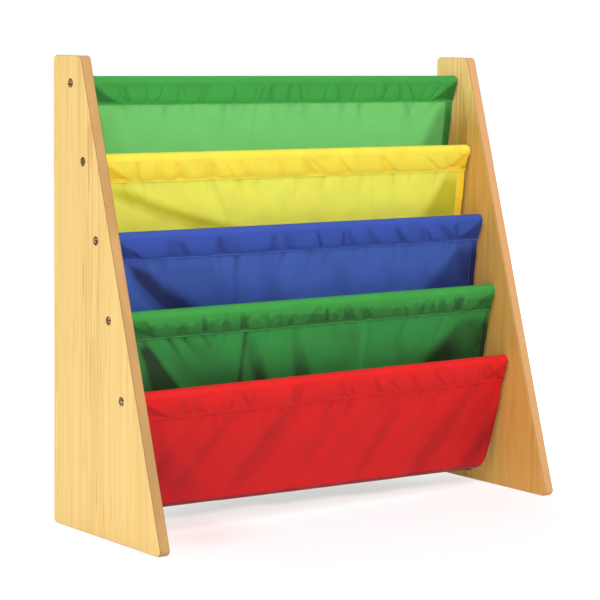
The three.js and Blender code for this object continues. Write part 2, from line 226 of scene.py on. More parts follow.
# %% Nodes and colours
class Finish:
    """The node tree of a new material or world, with one maker for all of its nodes."""

    def __init__(self, name, kind="Material"):
        owners = {"Material": bpy.data.materials, "World": bpy.data.worlds}
        self.owner = owners[kind].new(name)
        self.owner.use_nodes = True
        self.tree = self.owner.node_tree
        self.tree.nodes.clear()
        self.output = self.node(f"ShaderNodeOutput{kind}")

    def node(self, kind, settings=None, inputs=None):
        """Adds a node, sets its settings, and then fills its sockets with values or links."""
        node = self.tree.nodes.new(kind)
        for key, setting in (settings or {}).items():
            setattr(node, key, setting)
        for key, value in (inputs or {}).items():
            value = value.socket if isinstance(value, Value) else value
            if isinstance(value, bpy.types.NodeSocket):
                self.tree.links.new(value, node.inputs[key])
            else:
                node.inputs[key].default_value = value
        return node

    def maths(self, operation, *numbers):
        """A Math node's result, for one or two numbers or values."""
        node = self.node("ShaderNodeMath", {"operation": operation}, dict(enumerate(numbers)))
        return Value(self, node.outputs[0])

    def coordinates(self, output="Object"):
        """The three numbers of one output of Texture Coordinate."""
        place = self.node("ShaderNodeTexCoord")
        split = self.node("ShaderNodeSeparateXYZ", None, {0: place.outputs[output]})
        return [Value(self, socket) for socket in split.outputs]

    def attribute(self, name):
        """A number that the mesh carries at its points."""
        node = self.node("ShaderNodeAttribute", {"attribute_name": name})
        return Value(self, node.outputs["Fac"])

    def noise(self, x, y, z=0.0, detail=2.0, roughness=0.5, distortion=0.0):
        """Noise about 0.5 at a place given by three numbers or values."""
        where = self.node("ShaderNodeCombineXYZ", None, {0: x, 1: y, 2: z})
        sockets = {"Vector": where.outputs[0], "Scale": 1.0, "Detail": detail}
        sockets |= {"Roughness": roughness, "Distortion": distortion}
        return Value(self, self.node("ShaderNodeTexNoise", None, sockets).outputs[0])

    def blend(self, share, first, second, how="MIX"):
        """A colour from first where share is 0 to second where it is 1."""
        settings = {"data_type": "RGBA", "blend_type": how}
        node = self.node("ShaderNodeMix", settings, {0: share, 6: first, 7: second})
        return node.outputs[2]

    def bump(self, height, distance, strength):
        """A normal from a height of 0 to 1 that stands for distance in metres."""
        sockets = {"Height": height, "Distance": distance, "Strength": strength}
        return self.node("ShaderNodeBump", None, sockets).outputs[0]

    def principled(self, sockets):
        """A Principled shader."""
        return self.node("ShaderNodeBsdfPrincipled", None, sockets)

    def mix(self, share, first, second):
        """The shader first where share is 0, and second where it is 1."""
        sockets = {0: share, 1: first.outputs[0], 2: second.outputs[0]}
        return self.node("ShaderNodeMixShader", None, sockets)

    def show(self, shader):
        """Ends the tree with its last shader, and returns the material or world."""
        self.tree.links.new(shader.outputs[0], self.output.inputs[0])
        return self.owner


def colour(red, green, blue):
    """The linear colour of a screen colour from 0 to 255, by the sRGB rule."""
    screen = np.array([red, green, blue]) / 255
    linear = np.where(screen < 0.04045, screen / 12.92, ((screen + 0.055) / 1.055) ** 2.4)
    return (*linear.tolist(), 1.0)


def opaque(tone, dim=1.0):
    """The four parts that a socket takes, from a linear colour of three parts times dim."""
    return (*(dim * part for part in tone), 1.0)


print("half way up the screen's scale is linear", round(colour(128, 128, 128)[0], 3))

# %% [markdown]
# ## Laminate on the side boards
# The boards are covered with a pale pine print: faint upright bands, crisp brown lines that
# gather in a few zones, slim streaks where the grain opens, and a plain tan strip on every edge.
# Below the first dowel the inner faces are painted a deeper, warmer honey: painted shade from the
# sling, and painted warm light bounced off the cloth. All of it is a function of the place on the
# board. The distance down the board is pressed together, so that the noise draws long upright
# lines, and the edges are found by the way their surface looks.


# %% Laminate
BOARD_INNER, BOARD_OUTER = 0.313, 0.328  # a board's faces, from the middle of the shelf
# Painted shade and painted warm bounce light on the inner faces set in between these heights.
INNER_SHADE_HEIGHTS = (0.57, 0.49)  # the heights between which the inner faces turn deeper


def laminate_finish(name, offset, edge_tint):
    """Grain = noise(y/fine, z/long), which turns into crisp lines within a few wide zones;
    streaks = where a noise that is 20 times longer than wide passes a threshold; growth lines =
    where sin(100 * a long, wide noise) is near 1, which draws that noise's contours. offset is
    what makes the two boards differ."""
    finish = Finish(name)
    x, y, z = finish.coordinates()
    looks_x, _, _ = finish.coordinates("Normal")
    face = abs(looks_x).between(0.6, 0.8)
    wander = finish.noise(y * 14 + offset, z * 1.6, offset, detail=1.0) - 0.5
    across = y + wander * 0.022
    inside = abs(x).between(BOARD_INNER + 0.0005, BOARD_INNER - 0.0001)

    def grain(rate, along, detail=1.0, roughness=0.5):
        """Noise that changes rate times per metre across the board, and differs on its sides."""
        return finish.noise(across * rate + offset, along, x * 9, detail, roughness)

    fine = finish.noise(across * 1100, z * 5 + offset, x * 9, detail=2.0)
    hair = grain(420, z * 2.2)
    bands = grain(62, z * 0.7, 3.0, 0.6)
    zone = grain(17, z * 0.6).between(0.44, 0.58)
    streak = grain(150, z * 7 + 7).between(0.61, 0.68) * (0.35 + 0.65 * zone)
    line = hair.between(0.54, 0.62) * (0.25 + 0.75 * zone)
    contour = (grain(19, z * 0.7, roughness=0.35) * 100).apply("SINE")
    growth = contour.between(0.75, 0.99) * (0.2 + 0.8 * zone)
    rim = abs(looks_x).between(0.05, 0.25) * (1 - abs(looks_x).between(0.85, 0.97))

    pale, honey = colour(239, 206, 134), colour(233, 198, 124)
    ground = finish.blend(bands.between(0.3, 0.7), pale, honey)
    grained = finish.blend(line * 0.52, ground, colour(206, 158, 82))
    ringed = finish.blend(growth * 0.30, grained, colour(206, 154, 82))
    streaked = finish.blend(streak * 0.58, ringed, colour(194, 140, 64))
    haired = finish.blend(fine.between(0.3, 0.7) * 0.25, streaked, colour(226, 186, 108))
    # Painted shade and warm bounce light: the inner faces below the first dowel are multiplied by
    # a deeper honey.
    inner_shade = inside * z.between(*INNER_SHADE_HEIGHTS)
    deeper = finish.blend(inner_shade, haired, (0.70, 0.54, 0.32, 1.0), "MULTIPLY")

    nick = finish.noise(x * 90, y * 60, z * 60, detail=3.0).between(0.70, 0.78)
    strip_shade = finish.noise(x * 30, y * 9, z * 9 + offset, detail=2.0)
    strip = finish.blend(strip_shade.between(0.35, 0.7) * 0.5, edge_tint, colour(196, 154, 98))
    worn = finish.blend(nick * 0.6, strip, colour(166, 112, 66))
    skin = finish.blend(rim * 0.65, finish.blend(face, worn, deeper), colour(116, 70, 36))

    height = fine * 0.5 + hair * 0.3 - streak * 0.4 - nick * (1 - face)
    sockets = {
        "Base Color": skin,
        "Roughness": 0.46 + 0.10 * fine - 0.05 * streak + 0.30 * rim,
        "Specular IOR Level": 0.22,
        "Normal": finish.bump(height, 0.00012, 0.6),
    }
    return finish.show(finish.principled(sockets))


def give(node_name, material):
    """Puts one material on all of a CAD node."""
    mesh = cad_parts[node_name].data
    mesh.materials.clear()
    mesh.materials.append(material)


# Painted shade: the left board's edge strip is a darker tan than the right board's, though both
# face the same way.
give("left_side_board", laminate_finish("laminate_left", 3.1, colour(170, 130, 80)))
give("right_side_board", laminate_finish("laminate_right", 8.7, colour(198, 148, 98)))
print("side boards dressed")

# %% [markdown]
# ## Dowels and fasteners
# Hardly any of this is seen: the dowels are inside the sleeves, and of the bolts only the heads
# show. The dowels are turned wood with the grain along X. The bolts are plated steel, bronze
# brown, and worn bright in small patches. Their inserts are plated yellow.


# %% Dowel wood and plated steel
def dowel_finish():
    """Grain along X: noise(x/long, y/fine, z/fine)."""
    finish = Finish("dowel_wood")
    x, y, z = finish.coordinates()
    grain = finish.noise(x * 6, y * 700, z * 700, detail=3.0)
    pores = finish.noise(x * 40, y * 1500, z * 1500, detail=1.0).between(0.62, 0.72)
    ground = finish.blend(grain.between(0.3, 0.7), colour(206, 168, 116), colour(180, 138, 88))
    wood = finish.blend(pores * 0.5, ground, colour(168, 122, 74))
    sockets = {
        "Base Color": wood,
        "Roughness": 0.55 + 0.15 * grain,
        "Normal": finish.bump(grain - pores, 0.0001, 0.5),
    }
    return finish.show(finish.principled(sockets))


def plated_finish(name, plate, worn, dull):
    """Plating whose colour goes from plate to worn where two noises, one in patches and one in
    scratches, are high. dull is the roughness where it is smoothest."""
    finish = Finish(name)
    x, y, z = finish.coordinates()
    cloud = finish.noise(x * 400, y * 400, z * 400, detail=3.0)
    scratch = finish.noise(x * 90, y * 2600, z * 900, detail=2.0).between(0.6, 0.7)
    skin = finish.blend(cloud.between(0.52, 0.66), plate, worn)
    scratched = finish.blend(scratch * 0.4, skin, worn)
    sockets = {
        "Base Color": scratched,
        "Metallic": 0.9,
        "Roughness": dull + 0.15 * cloud,
        "Normal": finish.bump(scratch, 0.00003, 0.5),
    }
    return finish.show(finish.principled(sockets))


DOWEL_WOOD = dowel_finish()
BRONZE = plated_finish("bolt_bronze", colour(64, 34, 14), colour(240, 212, 176), 0.20)
ZINC = plated_finish("insert_zinc", colour(196, 176, 112), colour(222, 210, 160), 0.30)
for index in range(len(COLOURS)):
    give(f"dowel_{index + 1}", DOWEL_WOOD)
    for side in ("left", "right"):
        give(f"{side}_insert_{index + 1}", ZINC)
print("dowels and inserts dressed")

# %% [markdown]
# ## Bolt heads
# Each bolt has a flat round head with a hexagonal socket. The CAD bolt has fourteen sides, which
# would show as corners up close, so the bolt is turned again from a finer profile. In the socket
# the profile is pulled from a circle to a hexagon, by dividing the radius by the cosine of the
# angle to the nearest flat.

# %% Bolts
BOLT_SIDES = 48
HEAD_SUNK = 0.0006  # from the board's face to the face of the head
# The round part, from the shank's tip to the mouth of the socket: radius, and distance in from
# the head's face. Then the socket: half the hexagon's width, and distance in.
RADII = np.array([0, 2.2, 3.0, 3.0, 5.0, 5.5, 5.5, 5.35, 5.0, 4.4, 2.7, 2.45]) / 1000
DEPTHS = np.array([37.1, 37.1, 36.3, 3.2, 3.1, 2.6, 0.7, 0.3, 0.1, 0, 0, 0.1]) / 1000
SOCKET_RADII, SOCKET_DEPTHS = np.array([[2.0, 2.0, 0], [0.4, 2.1, 2.2]]) / 1000


def bolt_points(axis, face_x, side):
    """Ring points (face_x - side*depth, y + r cos a, z + r sin a), with r divided by
    cos(a mod 60 - 30) in the socket."""
    angle = 2 * np.pi * np.arange(BOLT_SIDES) / BOLT_SIDES
    to_flat = np.mod(angle, np.pi / 3) - np.pi / 6
    hexagon = SOCKET_RADII[:, None] / np.cos(to_flat)
    radius = np.vstack([RADII[:, None] * np.ones(BOLT_SIDES), hexagon])
    depth = np.concatenate([DEPTHS, SOCKET_DEPTHS])
    x = np.broadcast_to((face_x - side * depth)[:, None], radius.shape)
    return np.stack([x, axis[0] + radius * np.cos(angle), axis[1] + radius * np.sin(angle)], -1)


def weld(piece):
    """Merges the points that lie in one place, such as a pole's, and turns all faces outwards."""
    shape = bmesh.new()
    shape.from_mesh(piece.data)
    bmesh.ops.remove_doubles(shape, verts=shape.verts, dist=1e-6)
    bmesh.ops.recalc_face_normals(shape, faces=shape.faces)
    shape.to_mesh(piece.data)
    shape.free()


for name, side in (("left", -1), ("right", 1)):
    for index, axis in enumerate(AXES):
        points = bolt_points(axis, side * (BOARD_OUTER - HEAD_SUNK), side)
        # Some faces of the socket aren't flat, and a face's first corner decides along which
        # diagonal it is cut in two. On the right it is the next corner.
        faces = np.roll(ring_faces(points), -1 if side > 0 else 0, axis=1)
        bolt = add_mesh(f"{name}_bolt_head_{index + 1}", points, faces)
        weld(bolt)
        bolt.data.materials.append(BRONZE)
        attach(bolt, "root")
        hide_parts(f"{name}_bolt_{index + 1}")
print("bolts:", 2 * len(AXES), "with", len(bolt.data.vertices), "points each")

# %% [markdown]
# ## Nylon
# The cloth is thin enough for light to come through, which is why a single layer against the
# white background is so much paler than the doubled sleeves, and why each panel takes a tint from
# the cloth behind it. So the material mixes a shader that reflects with one that passes diffuse
# light on. Doubled places are two sheets in the mesh as well, so they pass less light by
# themselves. Yellow and blue also have deeper colours of their own there.
#
# The cloth is also painted darker where it lies in shade: in its creases, folds and hollows, on
# the lower parts of the sleeves and panels, at the ends of the sleeves, on the side hems and at
# the bottom of the pockets. The surfaces below work out how much painted shade each point gets,
# and hand it over as an attribute called shade.


# %% Nylon
WEAVE_PITCH = 0.0009  # from one raised thread to the next


def nylon_finish(name, reflected, hem_tone, passed, share, painted_shade_tone):
    """share of the surface passes light in the passed colour, and the rest reflects, with a tone
    of its own on the side hems. A plain weave is sin(u) * sin(v) of the cloth's own coordinates.
    Painted shade: where the shade attribute is high, the reflected colour goes to the shade
    colour, and less light passes."""
    finish = Finish(name)
    u, v, _ = finish.coordinates("UV")
    thread = 2 * np.pi / WEAVE_PITCH
    weave = (u * thread).apply("SINE") * (v * thread).apply("SINE")
    cloud = finish.noise(u * 26, v * 26, 0.0, detail=3.0)
    crumple = finish.noise(u * 120, v * 120, 3.0, detail=2.0, distortion=0.6)
    slub = finish.noise(u * 30, v * 1800, 5.0, detail=1.0)
    shade = finish.attribute("shade")
    ground = finish.blend(cloud.between(0.3, 0.7), opaque(reflected, 0.90), opaque(reflected))
    hem = abs(u).between(CLOTH_HALF - SIDE_HEM - 0.0005, CLOTH_HALF - SIDE_HEM)
    hemmed = finish.blend(hem, ground, opaque(hem_tone))
    threaded = finish.blend(slub.between(0.55, 0.8) * 0.12, hemmed, opaque(passed))
    normal = finish.bump(weave * 0.10 + crumple * 0.9, 0.0009, 0.5)
    sockets = {
        "Base Color": finish.blend(shade * 0.98, threaded, opaque(painted_shade_tone)),
        "Roughness": 0.50 + 0.12 * cloud,
        "Specular IOR Level": 0.18,
        "Sheen Weight": 0.04,
        "Sheen Roughness": 0.4,
        "Normal": normal,
    }
    light = {"Color": opaque(passed), "Normal": normal}
    through = finish.node("ShaderNodeBsdfTranslucent", None, light)
    passing = (share - 0.04 + 0.08 * cloud) * (1 - 0.96 * shade)
    return finish.show(finish.mix(passing, finish.principled(sockets), through))


def thread_finish(name, tone):
    """Twisted thread: noise across the strand, a shade lighter than the cloth it is sewn in."""
    finish = Finish(name)
    x, y, z = finish.coordinates()
    strand = finish.noise(x * 900, y * 2500, z * 2500, detail=2.0)
    sockets = {
        "Base Color": finish.blend(strand.between(0.35, 0.65), opaque(tone, 0.7), opaque(tone)),
        "Roughness": 0.55 + 0.2 * strand,
        "Normal": finish.bump(strand, 0.0002, 0.6),
    }
    return finish.show(finish.principled(sockets))


# Per colour: reflected, passed, the colour of painted shade, and the thread.
CLOTH_TONES = {
    "green": ((0.056, 0.42, 0.082), (0.30, 0.72, 0.22), (0.008, 0.020, 0.006), (0.18, 0.56, 0.20)),
    "yellow": ((0.93, 0.85, 0.11), (1.00, 1.00, 0.44), (0.42, 0.38, 0.015), (0.99, 0.84, 0.16)),
    "blue": ((0.051, 0.110, 0.46), (0.11, 0.21, 0.62), (0.004, 0.008, 0.055), (0.18, 0.26, 0.66)),
    "red": ((0.82, 0.015, 0.015), (0.90, 0.02, 0.015), (0.24, 0.004, 0.008), (0.80, 0.025, 0.025)),
}
PASSED_SHARE = {"green": 0.50, "yellow": 0.25, "blue": 0.26, "red": 0.28}
# Doubled cloth looks deeper than single cloth, which shows a little of the colours behind it:
# yellow turns golden and blue turns dark. These are its reflected colour and its painted shade
# colour on a sleeve, and its reflected colour on the side hems of a panel.
DOUBLED_TONES = {
    "yellow": ((0.98, 0.79, 0.072), (0.78, 0.48, 0.015), (0.98, 0.66, 0.035)),
    "blue": ((0.042, 0.090, 0.44), (0.004, 0.008, 0.055), (0.042, 0.090, 0.44)),
}
NYLON, DOUBLED, THREAD = {}, {}, {}
for name, (reflected, passed, painted_shade_tone, tone) in CLOTH_TONES.items():
    share = PASSED_SHARE[name]
    # On a sleeve, deep is the colour of painted shade.
    doubled, deep, hem = DOUBLED_TONES.get(name, (reflected, painted_shade_tone, reflected))
    sleeve_share = 0.9 * share
    NYLON[name] = nylon_finish(f"nylon_{name}", reflected, hem, passed, share, painted_shade_tone)
    DOUBLED[name] = nylon_finish(
        f"nylon_{name}_sleeve", doubled, doubled, passed, sleeve_share, deep
    )
    THREAD[name] = thread_finish(f"thread_{name}", tone)
print("nylon and thread in", ", ".join(NYLON))

# %% [markdown]
# ## Sleeves
# A sleeve is one strip of cloth that goes up behind the dowel, over it and down in front, and is
# sewn to itself below. Its section is an arc and two legs. The strip is a little too long for the
# dowel, so both legs bulge, and then turn in sharply towards the stitches.

# %% The section of a sleeve
ARC_STEPS, LEG_STEPS, FOOT_STEPS = 18, 26, 4
SEAM_HALF = 0.0004  # half the distance between the two layers at the stitches
SLEEVE_BULGE = 0.0019  # how far a leg stands out from a straight line


def sleeve_section():
    """Points (y, z) from the rear foot over the dowel to the front foot. The legs leave the arc
    where they touch it, at asin((radius - seam) / drop) below the level of the axis, and bulge by
    sin(pi * t^0.7), where t goes from 0 at the stitches to 1 at the arc."""
    tangent = np.arcsin((SLEEVE_RADIUS - SEAM_HALF) / SLEEVE_DROP)
    angle = np.linspace(-tangent, np.pi + tangent, ARC_STEPS)
    arc = SLEEVE_RADIUS * np.stack([np.cos(angle), np.sin(angle)], -1)
    rear_seam = np.array([SEAM_HALF, -SLEEVE_DROP])
    share = np.linspace(0, 1, LEG_STEPS, endpoint=False)[:, None]
    out = np.array([np.cos(tangent), -np.sin(tangent)])
    rear_leg = rear_seam + (arc[0] - rear_seam) * share
    rear_leg = rear_leg + SLEEVE_BULGE * np.sin(np.pi * share**0.7) * out
    foot_z = np.linspace(-SLEEVE_DROP - SLEEVE_HEM, -SLEEVE_DROP, FOOT_STEPS, endpoint=False)
    rear_foot = np.stack([np.full(FOOT_STEPS, SEAM_HALF), foot_z], -1)
    rear = np.vstack([rear_foot, rear_leg])
    front = (rear * [-1, 1])[::-1]
    return np.vstack([rear, arc, front])


SECTION = sleeve_section()
SECTION_RUN = np.concatenate([[0], np.cumsum(np.hypot(*np.diff(SECTION, axis=0).T))])
print("cloth in one sleeve, round the dowel:", round(float(SECTION_RUN[-1]), 4), "m")

# %% [markdown]
# ### Teeth along the stitches
# Sewing takes up a little of the cloth, and the surplus is pressed into narrow dents that stand on
# the stitches like teeth. Each tooth is five numbers, so a whole row of them is one array, and
# numpy finds how deep all of them press the cloth at every point at once. Where the real cloth is
# merely slack, a few cosines in random directions make it wave.


# %% Teeth and waves
def smooth(value, low, high):
    """0 at low, 1 at high, 3t^2 - 2t^3 between; low may be above high."""
    t = np.clip((value - low) / (high - low), 0, 1)
    return t * t * (3 - 2 * t)


def waves(u, v, seed, length, count=9):
    """The mean of count cosines of u and v in random directions, with wavelengths about length.
    A seed always gives the same waves, and each use below has one of its own."""
    draw = np.random.default_rng(seed)
    total = np.zeros(np.broadcast(u, v).shape)
    for _ in range(count):
        heading, phase = draw.uniform(0, 2 * np.pi, 2)
        rate = 2 * np.pi / (length * draw.uniform(0.7, 1.5))
        total += np.cos(rate * (u * np.cos(heading) + v * np.sin(heading)) + phase)
    return total / count


def draw_teeth(seed, count, width, height, lean):
    """Teeth as rows of centre, half width, height, lean and depth (at most 1). They stand evenly
    along the cloth, each moved by about half the distance between two."""
    draw = np.random.default_rng(seed)
    even = np.linspace(-0.97, 0.97, count)
    return np.stack(
        [
            CLOTH_HALF * (even + draw.normal(0, 0.5, count) * (even[1] - even[0])),
            width * draw.uniform(0.45, 1.5, count),
            height * draw.uniform(0.5, 1.4, count),
            lean + draw.normal(0, 0.35, count),
            draw.uniform(0.3, 1.0, count),
        ],
        axis=1,
    )


def dents(x, away, teeth, soft):
    """How deep the cloth is pressed in, from 0 to 1: the deepest of the teeth at each point. away
    is the distance from the stitches. taper falls from 1 at the foot of a tooth to 0 at its tip,
    and the half width falls with it to 45 percent. soft is the share of the half width over which
    a side fades."""
    centre, width, height, lean, depth = teeth.T[:, :, None, None]
    taper = np.clip(1 - away / height, 0, 1)
    offset = np.abs(x - centre - lean * away) / (width * (0.45 + 0.55 * taper))
    return (depth * smooth(taper, 0, 0.5) * smooth(offset, 1, 1 - soft)).max(0)


print("three teeth:", draw_teeth(1, 3, 0.006, 0.06, 0).round(3).tolist())

# %% [markdown]
# ### Rays below the stitches
# Under the stitches the same surplus runs down the panel in soft rays. They take the same five
# numbers, but they add up, and each fades out instead of ending in a point.


# %% Rays
def rays(x, away, teeth):
    """The sum over the rows of depth * (1 - away / height)^2 * exp(-(offset / width)^2)."""
    centre, width, height, lean, depth = teeth.T[:, :, None, None]
    fade = np.clip(1 - away / height, 0, 1) ** 2
    offset = x - centre - lean * away
    return (depth * fade * np.exp(-((offset / width) ** 2))).sum(0)


# %% [markdown]
# ### Hems
# Each side of every piece of cloth is folded back on itself by 12 mm and sewn down. In the mesh
# the grid runs on past the side, round a turn less than a millimetre across and back behind the
# cloth, so the band is two sheets thick and lets less light through, as on the real cloth.

# %% Columns across the cloth
HEM_TURN = 0.0004  # radius of the turn at a folded side
HEM_COLUMNS, TURN_COLUMNS = 7, 6


def cloth_columns(count):
    """For each column: place across (-1 to 1), distance behind the cloth, and distance across
    the flat cloth. count columns lie between the sides, closer together near them."""
    angle = np.linspace(0, np.pi, TURN_COLUMNS + 2)[1:-1]
    turn_in, turn_behind = -HEM_TURN * np.sin(angle), HEM_TURN * (1 - np.cos(angle))
    hem_in = np.concatenate([turn_in, np.linspace(0, SIDE_HEM, HEM_COLUMNS)])
    hem_behind = np.concatenate([turn_behind, np.full(HEM_COLUMNS, 2 * HEM_TURN)])
    steps = np.hypot(np.diff(hem_in, prepend=0), np.diff(hem_behind, prepend=0))
    hem_flat = CLOTH_HALF + np.cumsum(steps)
    hem_place = 1 - hem_in / CLOTH_HALF
    even = np.linspace(-1, 1, count)
    main = even + 0.12 * np.sin(np.pi * even) / np.pi
    return (
        np.concatenate([-hem_place[::-1], main, hem_place]),
        np.concatenate([hem_behind[::-1], np.zeros(count), hem_behind]),
        np.concatenate([-hem_flat[::-1], main * CLOTH_HALF, hem_flat]),
    )


print("columns in a hem and its turn:", HEM_COLUMNS + TURN_COLUMNS)

# %% [markdown]
# ### The surface of a sleeve
# The section is swept along the dowel and each point is moved along the section's own normal. At
# each end of the sleeve a crease runs from the top of the roll down and in to the stitches, and
# the cloth beyond it falls back.

# %% Sleeve surfaces
SLEEVE_COLUMNS = 481
END_FALL = 0.0024  # how far the cloth falls back beyond the crease at an end
END_RUN = {-1: 0.054, 1: 0.046}  # from the end to the foot of that crease, on each side
END_WIDTH, END_DARK_WIDTH = 0.010, 0.004  # over which it falls back, and over which it darkens
TOOTH_DEPTH, TOOTH_BEND = 0.0022, 0.006  # how deep teeth are, and how far they bend aside
REAR_STEP = 0.013  # how far the teeth on the rear leg stand to the left of those in front
SLEEVE_SLACK, FLUTTER = 0.0009, 0.0002  # waves of the legs, and of the edge below the stitches
# For each sleeve: number of teeth, half width, height, lean, how soft their edges are, and how
# much painted shade they get, the cloth low down on the sleeve gets, and it gets at its ends.
SLEEVE_TEETH = [
    (30, 0.0060, 0.060, -0.10, 1.0, 0.40, 0.00, 0.72),
    (18, 0.0120, 0.036, -0.70, 1.0, 0.60, 0.12, 0.80),
    (18, 0.0120, 0.033, -0.65, 0.9, 0.55, 0.10, 0.60),
    (30, 0.0095, 0.028, -0.15, 0.5, 0.66, 0.58, 0.40),
    (20, 0.0110, 0.031, -0.40, 0.9, 0.38, 0.15, 0.30),
]


def end_fall(x, above, top, width):
    """How far a point lies beyond the creases that run from top down to the stitches, from 0 to
    1: 1 - exp(-beyond / width), for each end."""
    total = 0
    for side, run in END_RUN.items():
        beyond = run * (1 - above / top) - (CLOTH_HALF - side * x)
        total = total + 1 - np.exp(-np.maximum(beyond, 0) / width)
    return total


def sleeve_points(index, x, behind, row):
    """The surface of a sleeve at x, for rows of the section, and its painted shade. A point moves
    along the section's normal by slack - teeth - fall at the ends - the hem's distance behind, but
    never through the other leg. The painted shade is 1 - the product of (1 - darkness) over the
    teeth, the ends and the lower part."""
    y, z = (column[:, None] for column in SECTION[row].T)
    tangent = np.gradient(SECTION, axis=0)[row]
    normal = np.stack([tangent[:, 1], -tangent[:, 0]], -1)
    normal /= np.linalg.norm(normal, axis=1, keepdims=True)
    above = z + SLEEVE_DROP
    on_leg = smooth(above, SLEEVE_DROP + 0.001, SLEEVE_DROP - 0.010)
    over_seam = smooth(above, -0.001, 0.003)
    in_front = y < 0
    *teeth_like, soft, dark, dark_low, dark_end = SLEEVE_TEETH[index]
    teeth = draw_teeth(11 + index, *teeth_like)
    bent = x + TOOTH_BEND * waves(x, above, 91 + index, 0.05) + np.where(in_front, 0, REAR_STEP)
    pressed = dents(bent, np.maximum(above, 0), teeth, soft) * on_leg
    fallen = end_fall(x, above, SLEEVE_DROP, END_WIDTH) * on_leg * in_front
    roll_top = SLEEVE_DROP + 0.7 * SLEEVE_RADIUS
    turned = end_fall(x, above, roll_top, END_DARK_WIDTH) * in_front
    slack = SLEEVE_SLACK * waves(x, above, 51 + index, 0.045) * on_leg
    move = slack - TOOTH_DEPTH * pressed * over_seam - END_FALL * fallen - behind
    move = np.maximum(move, -(0.5 + 0.28 * smooth(above, 0.001, 0.004)) * np.abs(y))
    # Painted shade: in the teeth, at the ends beyond the creases, and low down on the sleeve.
    low = smooth(above + 0.008 * waves(x, above, 81 + index, 0.014), 0.021, 0.012)
    in_teeth = dark * pressed * (1 - turned) * over_seam
    shade = 1 - (1 - in_teeth) * (1 - dark_end * turned * over_seam) * (1 - dark_low * low)
    drawn = SLEEVE_TAPER * np.maximum(0, -z) / (SLEEVE_DROP + SLEEVE_HEM)
    reach = x / CLOTH_HALF
    flutter = FLUTTER * waves(x, above, 71 + index, 0.018) * smooth(above, 0.002, -0.002)
    axis_y, axis_z = AXES[index]
    points = np.broadcast_arrays(
        x - reach * drawn * np.abs(reach) ** 6,
        axis_y + y + move * normal[:, :1] + flutter,
        axis_z + z + move * normal[:, 1:],
    )
    return np.stack(points, -1), np.clip(shade, 0, 1)


print("teeth on the sleeves:", [row[0] for row in SLEEVE_TEETH])

# %% [markdown]
# ### Five sleeves
# All five have the same section, and their own teeth. A dressed piece rides on the only body, as
# nothing on this shelf moves.


# %% Make the sleeves
def dress(piece, colour_name, finishes):
    """Gives a piece of cloth or thread its material, and its place on the body."""
    piece.data.materials.append(finishes[colour_name])
    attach(piece, "root")


sleeves = []
place, behind, flat = cloth_columns(SLEEVE_COLUMNS)
for index, name in enumerate(COLOURS):
    points, shade = sleeve_points(index, place * CLOTH_HALF, behind, np.arange(len(SECTION)))
    uv = np.stack(np.broadcast_arrays(flat, SECTION_RUN[:, None]), -1)
    sleeve = add_grid(f"sleeve_{index + 1}_{name}", points, uv, shade)
    dress(sleeve, name, DOUBLED)
    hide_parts(f"dowel_sleeve_{index + 1}")
    sleeves.append(sleeve)
print("sleeves:", [s.name for s in sleeves])

# %% [markdown]
# ## Pockets
# A pocket is a back panel that hangs from one sleeve and a front panel that hangs from the next.
# Seen from the side, each panel is nearly straight and ends in a quarter circle, and the two
# quarters make the rounded bottom.

# %% The line of a panel from the side
LAST = len(COLOURS) - 1
PANELS = [(part, pocket) for pocket in range(LAST) for part in ("back", "front")]


def hangs_from(part, pocket):
    """The sleeve that a panel hangs from, and whether the next back panel hides it."""
    sleeve = pocket if part == "back" else pocket + 1
    return sleeve, part == "front" and sleeve < LAST


def pocket_section(pocket):
    """Top, foot and turning circle of both panels of a pocket, in Y and Z."""
    rear, front = AXES[pocket], AXES[pocket + 1]
    back_top = rear[0] + LAYER
    front_top = front[0] + (LAYER if pocket + 1 == LAST else 2 * LAYER)
    back_foot = back_top + POCKET_LEAN
    front_foot = front_top + POCKET_SWING + POCKET_LEAN
    radius = (back_foot - front_foot) / 2
    centre = ((back_foot + front_foot) / 2, front[1] - POCKET_DROP + radius)
    return {
        "radius": radius,
        "centre": centre,
        "back": (back_top, rear[1] - SLEEVE_DROP, back_foot, 1),
        "front": (front_top, front[1] - SLEEVE_DROP, front_foot, -1),
    }


def panel_drop(part, pocket):
    """The length of cloth from the stitches to the bottom of the pocket."""
    section = pocket_section(pocket)
    straight = section[part][1] - section["centre"][1]
    return float(straight + section["radius"] * np.pi / 2)


def panel_line(section, part, reach):
    """(y, z) at a length of cloth below the stitches: straight until the centre of the turn,
    eased by a quarter sine on a front panel, and then a quarter circle."""
    top_y, top_z, foot_y, side = section[part]
    radius, (centre_y, centre_z) = section["radius"], section["centre"]
    straight = top_z - centre_z
    down = np.clip(reach / straight, 0, 1)
    ease = np.sin(down * np.pi / 2) if part == "front" else down
    angle = np.maximum(reach - straight, 0) / radius
    turned = reach > straight
    hang_y = top_y + (foot_y - top_y) * ease
    y = np.where(turned, centre_y + side * radius * np.cos(angle), hang_y)
    z = np.where(turned, centre_z - radius * np.sin(angle), top_z - reach)
    return y, z


print("cloth below the stitches:", [round(panel_drop(*panel), 4) for panel in PANELS])
